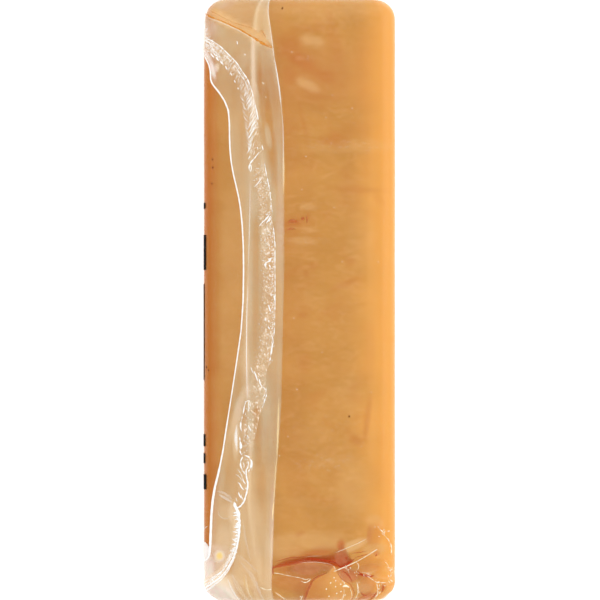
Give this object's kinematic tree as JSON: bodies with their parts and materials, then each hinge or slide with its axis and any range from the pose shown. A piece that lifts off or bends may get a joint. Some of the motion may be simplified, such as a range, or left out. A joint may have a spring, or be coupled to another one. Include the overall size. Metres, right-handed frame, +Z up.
{
  "type": "vacuum-packed smoked mozzarella bar",
  "caption": "Bar of smoked mozzarella shrunk tight in a clear bag, with the bag's welded tail folded over its upper face and folds and a cleft at the near end.",
  "frame": {"origin": "middle of the underside", "axes": "+X across the bar, away from the folded tail; +Y along the bar, from the cleft end to the plain end; +Z up, out of the face that carries the tail"},
  "size_m": [0.0478, 0.1508, 0.0301],
  "materials": {
    "cheese": "tan smoked cheese seen through tight clear film, satin with soft mottling",
    "film": "clear glossy shrink film, milky where it is doubled and white along its folds, weld and cut edge",
    "print": "flat black ink, as plain bars"
  },
  "bodies": {
    "root": {"vacuum_pack": "cheese"}
  },
  "joints": []
}
